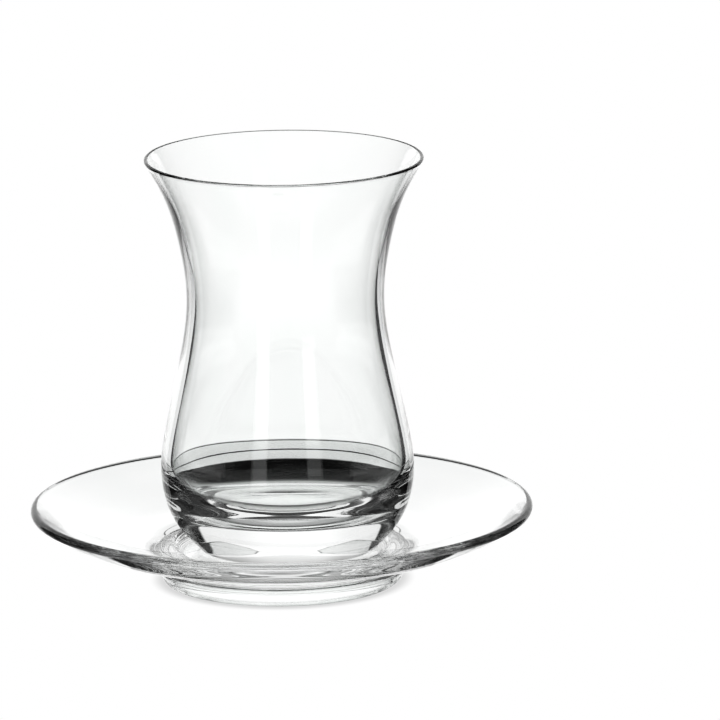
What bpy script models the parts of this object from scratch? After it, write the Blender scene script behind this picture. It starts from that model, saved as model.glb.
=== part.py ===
"""Tulip tea glass standing on its shallow saucer, both of clear pressed glass.

Metres, +Z up. The origin is on the table, under the centre of the saucer's foot ring. Both pieces are
turned shapes: a profile at +X, swept round Z. The glass is a separate solid that stands in the saucer's
well, a little to the right of its centre, with a hair's gap between the two.
"""
import math

import bpy
import numpy as np

MM = 0.001

# How finely the turned shapes are cut
SEGMENTS = 72
WALL_STEPS = 20
SLOPE_STEPS = 8
ROUND_STEPS = 4

# The saucer's driving sizes, in millimetres
SAUCER_RADIUS = 55.0
SAUCER_RIM_TOP = 16.95
SAUCER_RIM_ROUND = 1.0
RIM_TILT = math.radians(22)
WELL_FLOOR = 7.1
WELL_RADIUS = 22.2
WELL_STEP = 0.9
FOOT_RING_OUTER = 26.4
FOOT_RING_INNER = 23.1
FOOT_RECESS = 3.7
FOOT_ROUND_OUTSIDE = 1.2
FOOT_ROUND_INSIDE = 1.3

# The tea glass's driving sizes, in millimetres, from its own underside
GLASS_HEIGHT = 86.85
GLASS_RIM_RADIUS = 30.45
GLASS_RIM_ROUND = 0.42
FLARE_TILT = math.radians(9)
BELLY_RADIUS = 27.7
WAIST_RADIUS = 21.6
WALL = 1.85
BASE_THICKNESS = 9.3
FOOT_RADIUS = 19.2
UNDERSIDE_DOME = 0.5
REST_GAP = 0.3
GLASS_OFFSET_X = 1.4


def smooth_curve(stations, steps):
    """Points along the smoothest cubic curve through the stations, each a (radius, height) pair."""
    points = np.array(stations, dtype=float)
    lengths = np.hypot(*np.diff(points, axis=0).T)
    knots = np.concatenate([[0.0], np.cumsum(lengths)])
    count = len(points)
    system = np.eye(count)
    bends = np.zeros((count, 2))
    for k in range(1, count - 1):
        before, after = lengths[k - 1], lengths[k]
        system[k, k - 1:k + 2] = before, 2 * (before + after), after
        bends[k] = 6 * ((points[k + 1] - points[k]) / after - (points[k] - points[k - 1]) / before)
    bends = np.linalg.solve(system, bends)
    curve = []
    for at in np.linspace(0, knots[-1], steps + 1):
        k = min(np.searchsorted(knots, at, side="right") - 1, count - 2)
        span = lengths[k]
        left, right = knots[k + 1] - at, at - knots[k]
        point = (bends[k] * left ** 3 + bends[k + 1] * right ** 3) / (6 * span)
        point += (points[k] / span - bends[k] * span / 6) * left
        point += (points[k + 1] / span - bends[k + 1] * span / 6) * right
        curve.append(tuple(point))
    return curve


def arc(centre, radius, start, end, steps):
    """Points on an arc from one angle to another, both counted from +radius towards +height."""
    angles = np.linspace(start, end, steps + 1)
    return [(centre[0] + radius * math.cos(a), centre[1] + radius * math.sin(a)) for a in angles]


def glass_profile():
    """The tea glass's section: up the inside from the floor, over the lip, down the outside, along the foot."""
    lip = (GLASS_RIM_RADIUS - GLASS_RIM_ROUND, GLASS_HEIGHT - GLASS_RIM_ROUND)
    over_lip = arc(lip, GLASS_RIM_ROUND, math.pi - FLARE_TILT, -FLARE_TILT, ROUND_STEPS + 1)
    inside = smooth_curve([
        (0.0, BASE_THICKNESS),
        (9.0, BASE_THICKNESS),
        (17.0, BASE_THICKNESS + 0.05),
        (19.4, BASE_THICKNESS + 0.8),
        (22.2, BASE_THICKNESS + 2.9),
        (24.2, BASE_THICKNESS + 5.3),
        (25.2, BASE_THICKNESS + 8.5),
        (25.1, 21.5),
        (23.8, 29.0),
        (21.2, 41.0),
        (WAIST_RADIUS - WALL, 57.0),
        (21.6, 68.0),
        (25.0, 78.0),
        over_lip[0],
    ], WALL_STEPS)
    outside = smooth_curve([
        over_lip[-1],
        (26.05, 78.0),
        (23.1, 68.0),
        (WAIST_RADIUS, 57.0),
        (23.5, 41.0),
        (26.1, 29.0),
        (BELLY_RADIUS, 17.3),
        (24.6, 6.0),
        (FOOT_RADIUS + 0.6, 0.5),
    ], WALL_STEPS)
    foot = [
        (FOOT_RADIUS + 0.2, 0.1),
        (FOOT_RADIUS - 0.3, 0.0),
        (0.72 * FOOT_RADIUS, 0.0),
        (0.42 * FOOT_RADIUS, 0.7 * UNDERSIDE_DOME),
        (0.0, UNDERSIDE_DOME),
    ]
    return inside + over_lip[1:-1] + outside + foot


def saucer_profile():
    """The saucer's section: out across the well and the dish, round the rim, back under it, round the foot ring."""
    edge = (SAUCER_RADIUS - SAUCER_RIM_ROUND, SAUCER_RIM_TOP - SAUCER_RIM_ROUND)
    round_rim = arc(edge, SAUCER_RIM_ROUND, math.pi / 2 + RIM_TILT, RIM_TILT - math.pi / 2, ROUND_STEPS + 2)
    well = [
        (0.0, WELL_FLOOR),
        (WELL_RADIUS, WELL_FLOOR),
        (WELL_RADIUS + 0.6, WELL_FLOOR + 0.15 * WELL_STEP),
        (WELL_RADIUS + 1.2, WELL_FLOOR + 0.65 * WELL_STEP),
    ]
    dish = smooth_curve([
        (WELL_RADIUS + 1.8, WELL_FLOOR + WELL_STEP),
        (29.0, 8.7),
        (36.0, 10.0),
        (42.0, 11.7),
        (46.0, 13.2),
        (50.0, 15.1),
        round_rim[0],
    ], SLOPE_STEPS)
    underside = smooth_curve([
        round_rim[-1],
        (51.5, 13.3),
        (48.0, 11.4),
        (45.0, 10.1),
        (40.0, 8.4),
        (34.0, 6.9),
        (29.0, 5.95),
        (FOOT_RING_OUTER + 0.6, 5.1),
    ], SLOPE_STEPS)
    outside = (FOOT_RING_OUTER - FOOT_ROUND_OUTSIDE, FOOT_ROUND_OUTSIDE)
    ring_outside = arc(outside, FOOT_ROUND_OUTSIDE, 0, -math.pi / 2, ROUND_STEPS)
    inside = (FOOT_RING_INNER + FOOT_ROUND_INSIDE, FOOT_ROUND_INSIDE)
    ring_inside = arc(inside, FOOT_ROUND_INSIDE, -math.pi / 2, -math.pi, ROUND_STEPS)
    foot = [
        (FOOT_RING_OUTER + 0.65, 4.4),
        (FOOT_RING_OUTER + 0.35, 2.8),
        *ring_outside,
        *ring_inside,
        (FOOT_RING_INNER - 0.2, FOOT_RECESS - 0.7),
        (FOOT_RING_INNER - 1.8, FOOT_RECESS),
        (0.0, FOOT_RECESS),
    ]
    return well + dish + round_rim[1:-1] + underside + foot


def turned(name, profile, collection):
    """One closed solid: the profile's points joined by edges at +X, swept once round Z by a Screw modifier."""
    points = [(radius * MM, 0.0, height * MM) for radius, height in profile]
    edges = [(k, k + 1) for k in range(len(points) - 1)]
    mesh = bpy.data.meshes.new(name)
    mesh.from_pydata(points, edges, [])
    piece = bpy.data.objects.new(name, mesh)
    collection.objects.link(piece)
    screw = piece.modifiers.new("turn", "SCREW")
    screw.axis = "Z"
    screw.angle = 2 * math.pi
    screw.steps = SEGMENTS
    screw.render_steps = SEGMENTS
    screw.use_merge_vertices = True
    screw.merge_threshold = 0.00001
    screw.use_smooth_shade = True
    return piece


def clear_glass(name, tint):
    """Colourless soda-lime glass: smooth all over and fully transparent, with a trace of tint in its depth."""
    material = bpy.data.materials.new(name)
    material.use_nodes = True
    shader = material.node_tree.nodes["Principled BSDF"]
    shader.inputs["Base Color"].default_value = tint
    shader.inputs["Metallic"].default_value = 0.0
    shader.inputs["Roughness"].default_value = 0.02
    shader.inputs["IOR"].default_value = 1.52
    shader.inputs["Transmission Weight"].default_value = 1.0
    return material


for old in list(bpy.data.objects):
    bpy.data.objects.remove(old, do_unlink=True)

tea_set = bpy.data.collections.new("tea glass with saucer")
bpy.context.scene.collection.children.link(tea_set)

# The saucer, whose well carries the glass
saucer = turned("saucer", saucer_profile(), tea_set)
saucer.data.materials.append(clear_glass("pressed saucer glass", (0.97, 0.985, 0.98, 1.0)))

# The waisted glass, which only stands in the well
tea_glass = turned("tea_glass", glass_profile(), tea_set)
tea_glass.data.materials.append(clear_glass("pressed tumbler glass", (0.975, 0.985, 0.985, 1.0)))
tea_glass.location = (GLASS_OFFSET_X * MM, 0.0, (WELL_FLOOR + REST_GAP) * MM)
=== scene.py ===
import math

import bpy
import numpy as np
from mathutils import Matrix, Vector


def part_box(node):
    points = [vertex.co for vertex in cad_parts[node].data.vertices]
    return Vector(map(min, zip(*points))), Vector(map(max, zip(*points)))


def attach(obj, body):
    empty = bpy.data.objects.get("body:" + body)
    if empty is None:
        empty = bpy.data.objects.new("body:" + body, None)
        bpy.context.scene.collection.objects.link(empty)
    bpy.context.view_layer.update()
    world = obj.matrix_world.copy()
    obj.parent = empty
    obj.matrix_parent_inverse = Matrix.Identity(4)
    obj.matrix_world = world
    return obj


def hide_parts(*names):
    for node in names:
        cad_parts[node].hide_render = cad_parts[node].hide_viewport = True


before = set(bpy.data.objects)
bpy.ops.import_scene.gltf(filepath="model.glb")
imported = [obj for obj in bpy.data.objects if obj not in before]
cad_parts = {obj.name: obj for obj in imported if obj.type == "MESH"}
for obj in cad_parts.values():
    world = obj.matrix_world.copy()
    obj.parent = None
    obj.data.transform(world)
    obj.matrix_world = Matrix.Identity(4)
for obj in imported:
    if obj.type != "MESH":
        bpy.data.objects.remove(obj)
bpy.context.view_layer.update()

# The tea glass: a waisted tulip of clear soda-lime glass with a thick solid base, pressed and blown in one
# piece, its lip rounded by fire polishing. Its section runs up the inside, over the lip, down the outside
# and along the foot, and is spun round the glass's axis. It stands loose in the saucer's well.
MM = 0.001
GLASS_SIDES = 192
WALL_STEPS = 90
LIP_STEPS = 14
LIP_ROUND = 0.42
FLARE_TILT = 9.0
WALL = 1.85
WAIST_RADIUS = 21.6
BELLY_RADIUS = 27.7
BASE_THICKNESS = 9.3
FOOT_RADIUS = 19.2
UNDERSIDE_DOME = 0.5

glass_low, glass_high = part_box("tea_glass")
glass_x = (glass_low.x + glass_high.x) / 2 / MM
glass_foot_z = glass_low.z / MM
glass_height = (glass_high.z - glass_low.z) / MM
lip_radius = (glass_high.x - glass_low.x) / 2 / MM


def smooth_curve(stations, steps):
    """Points along the smoothest cubic curve through the stations, each a (radius, height) pair in mm."""
    points = np.array(stations, dtype=float)
    lengths = np.hypot(*np.diff(points, axis=0).T)
    knots = np.concatenate([[0.0], np.cumsum(lengths)])
    count = len(points)
    system = np.eye(count)
    bends = np.zeros((count, 2))
    for k in range(1, count - 1):
        before, after = lengths[k - 1], lengths[k]
        system[k, k - 1:k + 2] = before, 2 * (before + after), after
        bends[k] = 6 * ((points[k + 1] - points[k]) / after - (points[k] - points[k - 1]) / before)
    bends = np.linalg.solve(system, bends)
    curve = []
    for at in np.linspace(0, knots[-1], steps + 1):
        k = min(np.searchsorted(knots, at, side="right") - 1, count - 2)
        span = lengths[k]
        left, right = knots[k + 1] - at, at - knots[k]
        point = (bends[k] * left ** 3 + bends[k + 1] * right ** 3) / (6 * span)
        point += (points[k] / span - bends[k] * span / 6) * left
        point += (points[k + 1] / span - bends[k + 1] * span / 6) * right
        curve.append(tuple(point))
    return curve


def arc(centre, radius, start, end, steps):
    """Points on an arc between two angles in degrees, counted from outwards towards upwards."""
    angles = np.radians(np.linspace(start, end, steps + 1))
    return [(centre[0] + radius * math.cos(a), centre[1] + radius * math.sin(a)) for a in angles]


def turned_glass(name, section, axis_x, base_z, sides):
    """A closed turned solid: one vertex is extruded along the section (mm), then spun once round the axis."""
    bpy.ops.object.select_all(action="DESELECT")
    start = Vector((axis_x + section[0][0], 0.0, base_z + section[0][1])) * MM
    bpy.ops.mesh.primitive_plane_add(size=MM, location=start)
    piece = bpy.context.object
    piece.name = name
    piece.data.name = name
    bpy.ops.object.transform_apply(location=True, rotation=True, scale=True)
    bpy.ops.object.mode_set(mode="EDIT")
    bpy.ops.mesh.merge(type="CENTER")
    for here, there in zip(section, section[1:]):
        step = Vector((there[0] - here[0], 0.0, there[1] - here[1])) * MM
        bpy.ops.mesh.extrude_region_move(TRANSFORM_OT_translate={"value": step})
    bpy.ops.mesh.select_all(action="SELECT")
    middle = (axis_x * MM, 0.0, 0.0)
    bpy.ops.mesh.spin(steps=sides, angle=2 * math.pi, center=middle, axis=(0.0, 0.0, 1.0))
    bpy.ops.mesh.select_all(action="SELECT")
    bpy.ops.mesh.remove_doubles(threshold=0.002 * MM)
    bpy.ops.mesh.normals_make_consistent(inside=False)
    bpy.ops.object.mode_set(mode="OBJECT")
    bpy.ops.object.shade_smooth()
    return piece


lip_centre = (lip_radius - LIP_ROUND, glass_height - LIP_ROUND)
over_lip = arc(lip_centre, LIP_ROUND, 180 - FLARE_TILT, -FLARE_TILT, LIP_STEPS)
inside = smooth_curve([
    (0.0, BASE_THICKNESS),
    (9.0, BASE_THICKNESS),
    (17.0, BASE_THICKNESS + 0.05),
    (19.4, BASE_THICKNESS + 0.8),
    (22.2, BASE_THICKNESS + 2.9),
    (24.2, BASE_THICKNESS + 5.3),
    (25.2, BASE_THICKNESS + 8.5),
    (25.1, 21.5),
    (23.8, 29.0),
    (21.2, 41.0),
    (WAIST_RADIUS - WALL, 57.0),
    (21.6, 68.0),
    (25.0, 78.0),
    over_lip[0],
], WALL_STEPS)
outside = smooth_curve([
    over_lip[-1],
    (26.05, 78.0),
    (23.1, 68.0),
    (WAIST_RADIUS, 57.0),
    (23.5, 41.0),
    (26.1, 29.0),
    (BELLY_RADIUS, 17.3),
    (24.6, 6.0),
    (FOOT_RADIUS + 0.6, 0.5),
], WALL_STEPS)
glass_foot = [
    (FOOT_RADIUS + 0.4, 0.28),
    (FOOT_RADIUS + 0.1, 0.1),
    (FOOT_RADIUS - 0.3, 0.0),
    (0.72 * FOOT_RADIUS, 0.0),
    (0.57 * FOOT_RADIUS, 0.24 * UNDERSIDE_DOME),
    (0.42 * FOOT_RADIUS, 0.68 * UNDERSIDE_DOME),
    (0.21 * FOOT_RADIUS, 0.92 * UNDERSIDE_DOME),
    (0.0, UNDERSIDE_DOME),
]
glass_section = inside + over_lip[1:-1] + outside + glass_foot
tumbler = turned_glass("tumbler", glass_section, glass_x, glass_foot_z, GLASS_SIDES)


def add_node(tree, kind, inputs=None, **settings):
    """Adds a shader node, sets its properties, and links or sets its inputs by name or place."""
    node = tree.nodes.new(kind)
    for key, value in settings.items():
        setattr(node, key, value)
    for key, value in (inputs or {}).items():
        if isinstance(value, bpy.types.NodeSocket):
            tree.links.new(value, node.inputs[key])
        else:
            node.inputs[key].default_value = value
    return node


def linear_colour(hex_colour):
    """An sRGB colour such as F4F8F7 as linear red, green, blue and a solid alpha."""
    channels = [int(hex_colour[k:k + 2], 16) / 255 for k in (0, 2, 4)]
    return (*(c / 12.92 if c <= 0.04045 else ((c + 0.055) / 1.055) ** 2.4 for c in channels), 1.0)


def pressed_glass(name, foot_z):
    """Clear soda-lime glass from an iron mould. The eye sees it only by its dark refracted edges, by a slow
    waviness left by the mould, by faint streaks in its depth and by a foot rubbed dull where it rests."""
    wave_length = 16 * MM
    wave_depth = 0.035 * MM
    streak_length = 9 * MM
    streak_stretch = 0.25
    rubbed_height = 0.12 * MM
    rubbed_roughness = 0.2
    material = bpy.data.materials.new(name)
    material.use_nodes = True
    tree = material.node_tree
    shader = tree.nodes["Principled BSDF"]
    shader.inputs["IOR"].default_value = 1.52
    shader.inputs["Transmission Weight"].default_value = 1.0
    place = add_node(tree, "ShaderNodeTexCoord").outputs["Object"]
    waves = add_node(tree, "ShaderNodeTexNoise", {
        "Vector": place, "Scale": 1 / wave_length, "Detail": 1.0, "Roughness": 0.4,
    })
    relief = add_node(tree, "ShaderNodeBump", {
        "Height": waves.outputs[0], "Strength": 1.0, "Distance": wave_depth,
    })
    drawn_out = add_node(tree, "ShaderNodeMapping", {"Vector": place, "Scale": (1.0, 1.0, streak_stretch)})
    streaks = add_node(tree, "ShaderNodeTexNoise", {
        "Vector": drawn_out.outputs[0], "Scale": 1 / streak_length, "Detail": 2.0,
    })
    tint = add_node(tree, "ShaderNodeMix", {
        0: streaks.outputs[0], "A": linear_colour("FFFFFF"), "B": linear_colour("FBFDFC"),
    }, data_type="RGBA")
    height = add_node(tree, "ShaderNodeSeparateXYZ", {0: place})
    rubbed = add_node(tree, "ShaderNodeMapRange", {
        "Value": height.outputs["Z"], "From Min": foot_z, "From Max": foot_z + rubbed_height,
        "To Min": rubbed_roughness, "To Max": 0.0,
    })
    tree.links.new(tint.outputs["Result"], shader.inputs["Base Color"])
    tree.links.new(rubbed.outputs[0], shader.inputs["Roughness"])
    tree.links.new(relief.outputs[0], shader.inputs["Normal"])
    return material


tumbler.data.materials.append(pressed_glass("pressed and blown soda-lime glass", glass_low.z))
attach(tumbler, "root")
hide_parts("tea_glass")

# The saucer: a shallow dish of the same clear glass, pressed in one piece, with a flat well for the glass,
# a low step round it, a rounded rim and a short foot ring under it. It rests on the rubbed edge of the ring.
SAUCER_SIDES = 192
SLOPE_STEPS = 50
RIM_STEPS = 16
RING_STEPS = 12
RIM_ROUND = 1.0
RIM_TILT = 22.0
WELL_FLOOR = 7.1
WELL_RADIUS = 22.2
WELL_STEP = 0.9
RING_OUTER = 26.4
RING_INNER = 23.1
RING_ROUND_OUTSIDE = 1.2
RING_ROUND_INSIDE = 1.3
RECESS = 3.7

saucer_low, saucer_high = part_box("saucer")
saucer_radius = (saucer_high.x - saucer_low.x) / 2 / MM
rim_top = saucer_high.z / MM
rim_centre = (saucer_radius - RIM_ROUND, rim_top - RIM_ROUND)
round_rim = arc(rim_centre, RIM_ROUND, 90 + RIM_TILT, RIM_TILT - 90, RIM_STEPS)
well = [
    (0.0, WELL_FLOOR),
    (12.0, WELL_FLOOR),
    (WELL_RADIUS - 1.2, WELL_FLOOR),
    (WELL_RADIUS, WELL_FLOOR),
    (WELL_RADIUS + 0.3, WELL_FLOOR + 0.03 * WELL_STEP),
    (WELL_RADIUS + 0.6, WELL_FLOOR + 0.13 * WELL_STEP),
    (WELL_RADIUS + 0.9, WELL_FLOOR + 0.36 * WELL_STEP),
    (WELL_RADIUS + 1.2, WELL_FLOOR + 0.64 * WELL_STEP),
    (WELL_RADIUS + 1.5, WELL_FLOOR + 0.87 * WELL_STEP),
]
dish = smooth_curve([
    (WELL_RADIUS + 1.8, WELL_FLOOR + WELL_STEP),
    (29.0, 8.7),
    (36.0, 10.0),
    (42.0, 11.7),
    (46.0, 13.2),
    (50.0, 15.1),
    round_rim[0],
], SLOPE_STEPS)
underside = smooth_curve([
    round_rim[-1],
    (51.5, 13.3),
    (48.0, 11.4),
    (45.0, 10.1),
    (40.0, 8.4),
    (34.0, 6.9),
    (29.0, 5.95),
    (RING_OUTER + 0.6, 5.1),
], SLOPE_STEPS)
ring_outside = (RING_OUTER - RING_ROUND_OUTSIDE, RING_ROUND_OUTSIDE)
ring_inside = (RING_INNER + RING_ROUND_INSIDE, RING_ROUND_INSIDE)
foot_ring = [
    (RING_OUTER + 0.65, 4.4),
    (RING_OUTER + 0.35, 2.8),
    *arc(ring_outside, RING_ROUND_OUTSIDE, 0, -90, RING_STEPS),
    *arc(ring_inside, RING_ROUND_INSIDE, -90, -180, RING_STEPS),
    (RING_INNER - 0.05, 0.63 * RECESS),
    (RING_INNER - 0.2, 0.8 * RECESS),
    (RING_INNER - 0.5, 0.91 * RECESS),
    (RING_INNER - 1.0, 0.98 * RECESS),
    (RING_INNER - 1.8, RECESS),
    (10.0, RECESS),
    (0.0, RECESS),
]
saucer_section = well + dish + round_rim[1:-1] + underside + foot_ring
saucer = turned_glass("saucer_dish", saucer_section, 0.0, 0.0, SAUCER_SIDES)
saucer.data.materials.append(pressed_glass("pressed soda-lime saucer glass", saucer_low.z))
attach(saucer, "root")
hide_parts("saucer")

# The camera, with a long lens from about two metres, looks down on the set by about thirteen degrees. The
# set stands left of the picture's middle, and the picture hangs a little, so the camera is turned and rolled.
CAMERA_DISTANCE = 1.95
CAMERA_ELEVATION = math.radians(12.84)
CAMERA_ROLL = math.radians(0.62)
CAMERA_LENS = 446.6
LOOK_AT = Vector((0.0175, 0.0, 0.0488))

view_back = Vector((0.0, -math.cos(CAMERA_ELEVATION), math.sin(CAMERA_ELEVATION)))
aim = view_back.to_track_quat("Z", "Y").to_matrix().to_4x4() @ Matrix.Rotation(-CAMERA_ROLL, 4, "Z")
camera_data = bpy.data.cameras.new("studio camera")
camera_data.lens = CAMERA_LENS
camera_data.sensor_width = 36.0
camera_data.clip_start = 0.05
camera_data.clip_end = 60.0
camera = bpy.data.objects.new("studio camera", camera_data)
bpy.context.scene.collection.objects.link(camera)
camera.matrix_world = Matrix.Translation(LOOK_AT + view_back * CAMERA_DISTANCE) @ aim
bpy.context.scene.camera = camera

# The table and backdrop: an evenly lit white sweep, with a soft contact shade close round the foot ring. The
# camera alone sees it, because the glass takes its light from the tent of the next section. The picture's
# tone curve darkens the dark greys a little, as a contrasty studio print does.
TONE_CURVE = ((0.04, 0.015), (0.1, 0.05), (0.23, 0.15), (0.47, 0.42), (0.7, 0.69))
ALL_CHANNELS = 3
GLASS_BOUNCES = 32
TABLE_RADIUS = 30.0
SHADE_DEPTH = 0.3
SHADE_INNER = 25.8
SHADE_OUTER = 29.5

studio = bpy.context.scene
studio.view_settings.view_transform = "Standard"
studio.view_settings.use_curve_mapping = True
tone_mapping = studio.view_settings.curve_mapping
for light_in, light_out in TONE_CURVE:
    tone_mapping.curves[ALL_CHANNELS].points.new(light_in, light_out)
tone_mapping.update()
studio.cycles.max_bounces = GLASS_BOUNCES
studio.cycles.glossy_bounces = GLASS_BOUNCES
studio.cycles.transmission_bounces = GLASS_BOUNCES
WHITE = linear_colour("FFFFFF")
world = bpy.data.worlds.new("white backdrop")
studio.world = world
world.use_nodes = True
world.node_tree.nodes["Background"].inputs["Color"].default_value = WHITE
world.node_tree.nodes["Background"].inputs["Strength"].default_value = 1.0

bpy.ops.object.select_all(action="DESELECT")
bpy.ops.mesh.primitive_circle_add(vertices=96, radius=TABLE_RADIUS, fill_type="NGON", location=(0, 0, 0))
table = bpy.context.object
table.name = "white table"
table_top = bpy.data.materials.new("lit white sweep")
table_top.use_nodes = True
tree = table_top.node_tree
tree.nodes.clear()
place = add_node(tree, "ShaderNodeTexCoord").outputs["Object"]
away = add_node(tree, "ShaderNodeVectorMath", {0: place}, operation="LENGTH").outputs["Value"]
shade = add_node(tree, "ShaderNodeMapRange", {
    "Value": away, "From Min": SHADE_INNER * MM, "From Max": SHADE_OUTER * MM,
    "To Min": 1.0 - SHADE_DEPTH, "To Max": 1.0,
}, interpolation_type="SMOOTHSTEP")
glow = add_node(tree, "ShaderNodeEmission", {"Color": WHITE, "Strength": shade.outputs[0]})
add_node(tree, "ShaderNodeOutputMaterial", {"Surface": glow.outputs[0]})
table.data.materials.append(table_top)
table.visible_glossy = False
table.visible_transmission = False

# The light tent, which stands still round the set and which only glass sees: one bright panel beyond the
# glass, black flags at both sides that draw its dark edges, paler cloth elsewhere, and two soft strips on
# the camera's side that show as white stripes. Angles are in degrees, seen from the middle of the set.
TENT_RADIUS = 12.0
PANEL_LIGHT = 1.09
PANEL_HALF_WIDTH = 0.68
PANEL_SPREAD = 0.54
PANEL_SHIFT = 0.07
PANEL_LEAN = 0.02
PANEL_EDGE = (1.03, 0.96)
PANEL_DIM = (0.15, 0.5)
PANEL_DIM_LIGHT = 0.86
PANEL_FOOT = (-17.0, -16.2)
PANEL_LOW = (-12.0, -3.0)
PANEL_LOW_LIGHT = 0.8
PANEL_TOP = (28.0, 62.0)
PANEL_AHEAD = 0.1
LEAST_AHEAD = 0.02
CEILING_LIGHT = 0.05
SEAM_RISE = -12.0
SEAM_HALF_WIDTH = 0.3
SEAM_DEPTH = 0.9
FLAG_LIGHT = 0.006
FAR_TABLE = (-20.0, -36.0)
FAR_TABLE_LIGHT = 0.5

bpy.ops.object.select_all(action="DESELECT")
bpy.ops.mesh.primitive_uv_sphere_add(segments=64, ring_count=32, radius=TENT_RADIUS)
tent = bpy.context.object
tent.name = "light tent"
tent.matrix_world = Matrix.Translation(LOOK_AT) @ aim
cloth = bpy.data.materials.new("white tent cloth and black flags")
cloth.use_nodes = True
tree = cloth.node_tree
tree.nodes.clear()
place = add_node(tree, "ShaderNodeTexCoord").outputs["Object"]
direction = add_node(tree, "ShaderNodeVectorMath", {0: place}, operation="NORMALIZE").outputs[0]
axes = add_node(tree, "ShaderNodeSeparateXYZ", {0: direction})
aside = axes.outputs["X"]
upward = axes.outputs["Y"]
ahead = add_node(tree, "ShaderNodeMath", {0: axes.outputs["Z"], 1: -1.0}, operation="MULTIPLY").outputs[0]
rise = add_node(tree, "ShaderNodeMath", {0: upward}, operation="ARCSINE").outputs[0]
rise = add_node(tree, "ShaderNodeMath", {0: rise}, operation="DEGREES").outputs[0]

# The bright panel stands square to the photo's line of sight, widens upwards and is dimmer towards its sides,
# its foot and the ceiling. A narrow seam crosses it, and the far part of the table lies below it. Its widths
# are shares of its distance, and each pair of values says where a fade starts and ends.
beyond = add_node(tree, "ShaderNodeMath", {0: ahead, 1: LEAST_AHEAD}, operation="MAXIMUM").outputs[0]
across = add_node(tree, "ShaderNodeMath", {0: aside, 1: beyond}, operation="DIVIDE").outputs[0]
above = add_node(tree, "ShaderNodeMath", {0: upward, 1: beyond}, operation="DIVIDE").outputs[0]
above = add_node(tree, "ShaderNodeMath", {0: above, 1: 0.0}, operation="MAXIMUM").outputs[0]
shift = add_node(tree, "ShaderNodeMath", {
    0: above, 1: PANEL_LEAN, 2: PANEL_SHIFT,
}, operation="MULTIPLY_ADD").outputs[0]
across = add_node(tree, "ShaderNodeMath", {0: across, 1: shift}, operation="ADD").outputs[0]
across = add_node(tree, "ShaderNodeMath", {0: across}, operation="ABSOLUTE").outputs[0]
half_width = add_node(tree, "ShaderNodeMath", {
    0: above, 1: PANEL_SPREAD, 2: PANEL_HALF_WIDTH,
}, operation="MULTIPLY_ADD").outputs[0]
reach = add_node(tree, "ShaderNodeMath", {0: across, 1: half_width}, operation="DIVIDE").outputs[0]
light = add_node(tree, "ShaderNodeMapRange", {
    "Value": reach, "From Min": PANEL_EDGE[0], "From Max": PANEL_EDGE[1],
    "To Min": 0.0, "To Max": PANEL_LIGHT,
}).outputs[0]
for value, span, light_from, light_to in (
    (across, PANEL_DIM, 1.0, PANEL_DIM_LIGHT),
    (rise, PANEL_LOW, PANEL_LOW_LIGHT, 1.0),
    (rise, PANEL_TOP, 1.0, CEILING_LIGHT),
    (rise, PANEL_FOOT, 0.0, 1.0),
):
    fade = add_node(tree, "ShaderNodeMapRange", {
        "Value": value, "From Min": span[0], "From Max": span[1], "To Min": light_from, "To Max": light_to,
    }, interpolation_type="SMOOTHSTEP").outputs[0]
    light = add_node(tree, "ShaderNodeMath", {0: light, 1: fade}, operation="MULTIPLY").outputs[0]
far_side = add_node(tree, "ShaderNodeMath", {0: ahead, 1: PANEL_AHEAD}, operation="GREATER_THAN").outputs[0]
light = add_node(tree, "ShaderNodeMath", {0: light, 1: far_side}, operation="MULTIPLY").outputs[0]
seam = add_node(tree, "ShaderNodeMath", {
    0: rise, 1: SEAM_RISE, 2: SEAM_HALF_WIDTH,
}, operation="COMPARE").outputs[0]
beside_seam = add_node(tree, "ShaderNodeMath", {
    0: seam, 1: -SEAM_DEPTH, 2: 1.0,
}, operation="MULTIPLY_ADD").outputs[0]
light = add_node(tree, "ShaderNodeMath", {0: light, 1: beside_seam}, operation="MULTIPLY").outputs[0]
far_table = add_node(tree, "ShaderNodeMapRange", {
    "Value": rise, "From Min": FAR_TABLE[0], "From Max": FAR_TABLE[1],
    "To Min": FLAG_LIGHT, "To Max": FAR_TABLE_LIGHT,
}, interpolation_type="SMOOTHSTEP").outputs[0]
light = add_node(tree, "ShaderNodeMath", {0: light, 1: far_table}, operation="ADD").outputs[0]

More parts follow.
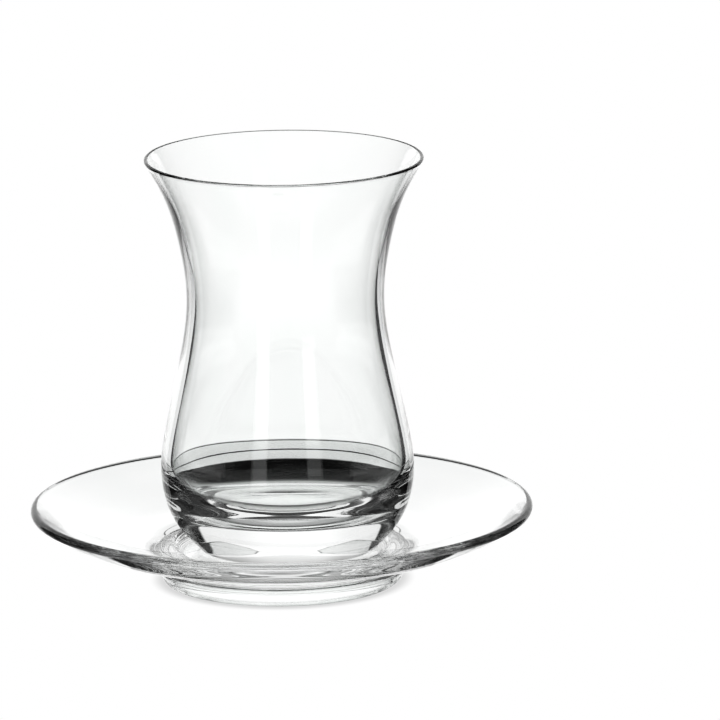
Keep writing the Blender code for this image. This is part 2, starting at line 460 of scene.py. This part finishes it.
# The rest of the tent, each part by its bearing, which is 0 straight beyond the glass, and by its height over
# the horizon. The tent is tilted to the photo's line of sight, so both are worked out level first.
level_up = add_node(tree, "ShaderNodeMath", {
    0: upward, 1: math.cos(CAMERA_ELEVATION),
}, operation="MULTIPLY").outputs[0]
level_up = add_node(tree, "ShaderNodeMath", {
    0: ahead, 1: -math.sin(CAMERA_ELEVATION), 2: level_up,
}, operation="MULTIPLY_ADD").outputs[0]
height = add_node(tree, "ShaderNodeMath", {0: level_up}, operation="ARCSINE").outputs[0]
height = add_node(tree, "ShaderNodeMath", {0: height}, operation="DEGREES").outputs[0]
level_ahead = add_node(tree, "ShaderNodeMath", {
    0: upward, 1: math.sin(CAMERA_ELEVATION),
}, operation="MULTIPLY").outputs[0]
level_ahead = add_node(tree, "ShaderNodeMath", {
    0: ahead, 1: math.cos(CAMERA_ELEVATION), 2: level_ahead,
}, operation="MULTIPLY_ADD").outputs[0]
bearing = add_node(tree, "ShaderNodeMath", {0: aside, 1: level_ahead}, operation="ARCTAN2").outputs[0]
bearing = add_node(tree, "ShaderNodeMath", {0: bearing}, operation="DEGREES").outputs[0]
off_axis = add_node(tree, "ShaderNodeMath", {0: bearing}, operation="ABSOLUTE").outputs[0]
# For each part: how its bearing is read, its bearings, its heights, its edges' softness and its light
TENT_PARTS = {
    "table on the camera's side": (off_axis, (118.0, 190.0), (-95.0, -3.0), 6.0, 0.45),
    "table at the sides": (off_axis, (40.0, 118.0), (-95.0, -22.0), 5.0, 0.36),
    "table under the set": (off_axis, (-10.0, 190.0), (-95.0, -62.0), 6.0, 0.4),
    "gap below the flags": (off_axis, (62.0, 118.0), (-7.0, -1.0), 1.5, 0.8),
    "cloth above the flags": (off_axis, (44.0, 190.0), (36.0, 52.0), 5.0, 0.12),
    "left strip": (bearing, (-161.0, -147.0), (-13.0, 16.0), 0.5, 1.1),
    "right strip": (bearing, (147.0, 161.0), (-2.0, 34.0), 0.5, 0.9),
}
for turn, turn_span, height_span, soft, part_light in TENT_PARTS.values():
    patch = part_light
    for value, (start, end) in ((turn, turn_span), (height, height_span)):
        for edge, inner in ((start - soft, start + soft), (end + soft, end - soft)):
            fade = add_node(tree, "ShaderNodeMapRange", {
                "Value": value, "From Min": edge, "From Max": inner,
            }, interpolation_type="SMOOTHSTEP").outputs[0]
            patch = add_node(tree, "ShaderNodeMath", {0: patch, 1: fade}, operation="MULTIPLY").outputs[0]
    light = add_node(tree, "ShaderNodeMath", {0: patch, 1: light}, operation="ADD").outputs[0]
glow = add_node(tree, "ShaderNodeEmission", {"Color": WHITE, "Strength": light})
add_node(tree, "ShaderNodeOutputMaterial", {"Surface": glow.outputs[0]})
tent.data.materials.append(cloth)
tent.visible_camera = False
tent.visible_diffuse = False
tent.visible_shadow = False
